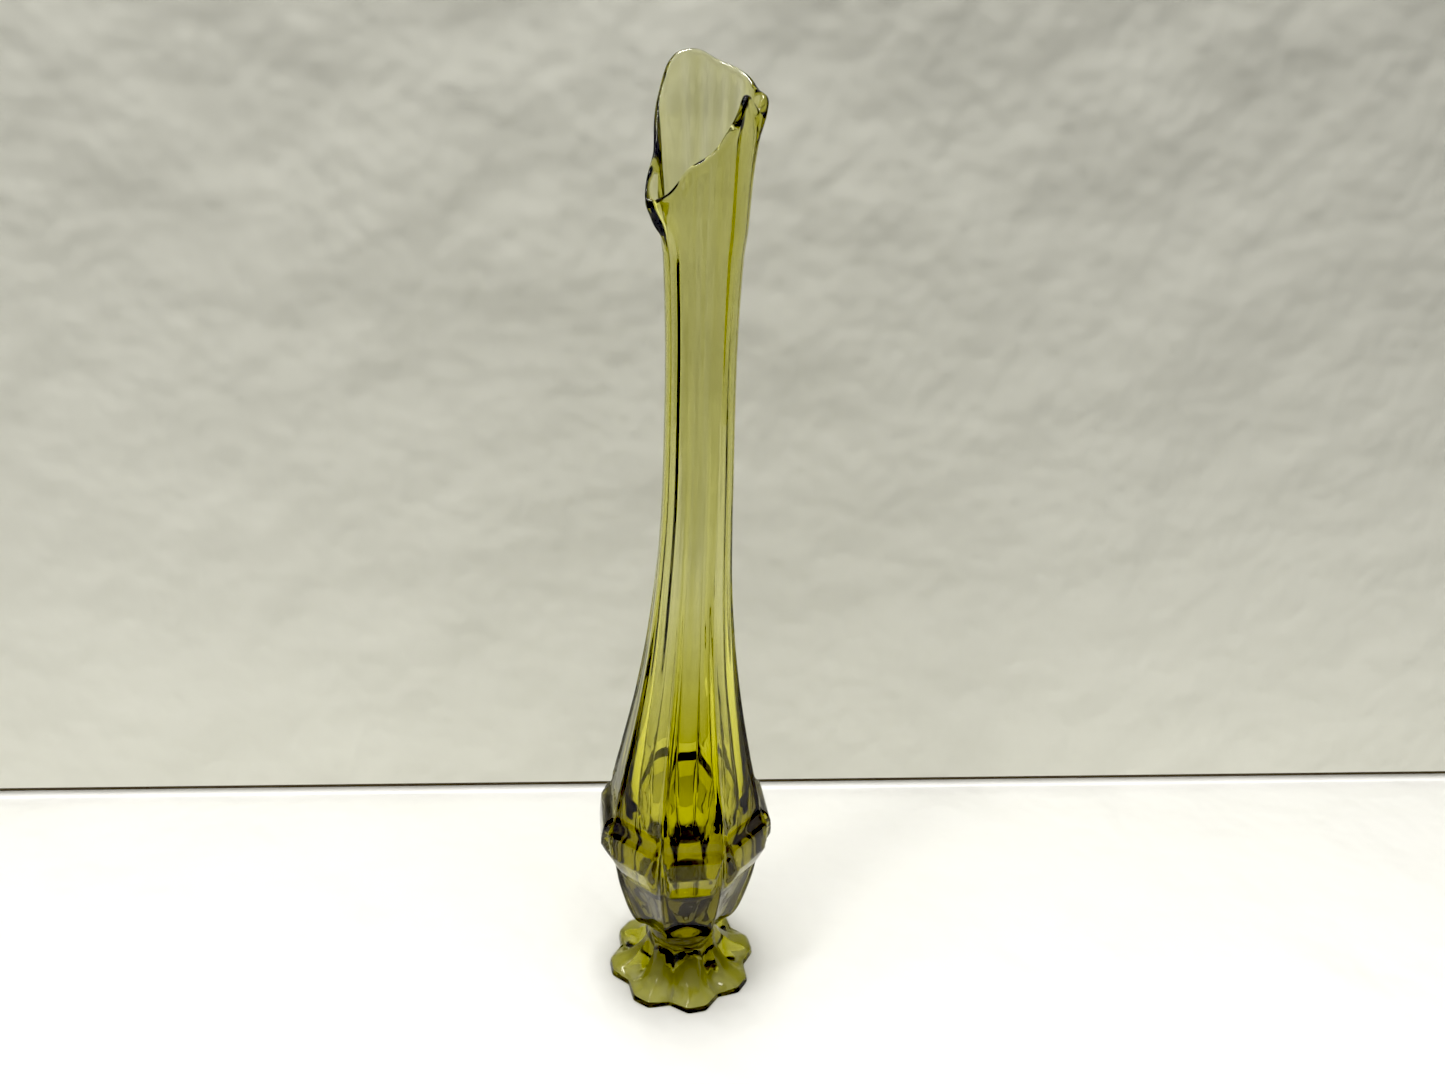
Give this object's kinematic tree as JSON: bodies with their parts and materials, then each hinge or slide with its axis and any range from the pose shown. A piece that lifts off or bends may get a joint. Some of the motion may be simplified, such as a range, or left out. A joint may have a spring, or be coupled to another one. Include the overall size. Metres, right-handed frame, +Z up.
{
  "type": "bud vase",
  "caption": "Tall green glass bud vase with a petalled foot, a bossed and panelled bowl and a long drawn neck with a slanted mouth.",
  "frame": {"origin": "middle of the ring that the foot stands on", "axes": "+Z up along the neck, -Y towards the middle of one of the eight panels"},
  "size_m": [0.0774, 0.0774, 0.3967],
  "materials": {
    "green_glass": "avocado-green soda glass, pressed thick in the foot and bowl, drawn thin in the neck, fire polished"
  },
  "bodies": {
    "root": {"foot": "green_glass", "stem": "green_glass", "cup": "green_glass", "crown": "green_glass", "body": "green_glass", "neck": "green_glass", "mouth": "green_glass", "lip": "green_glass"}
  },
  "joints": []
}
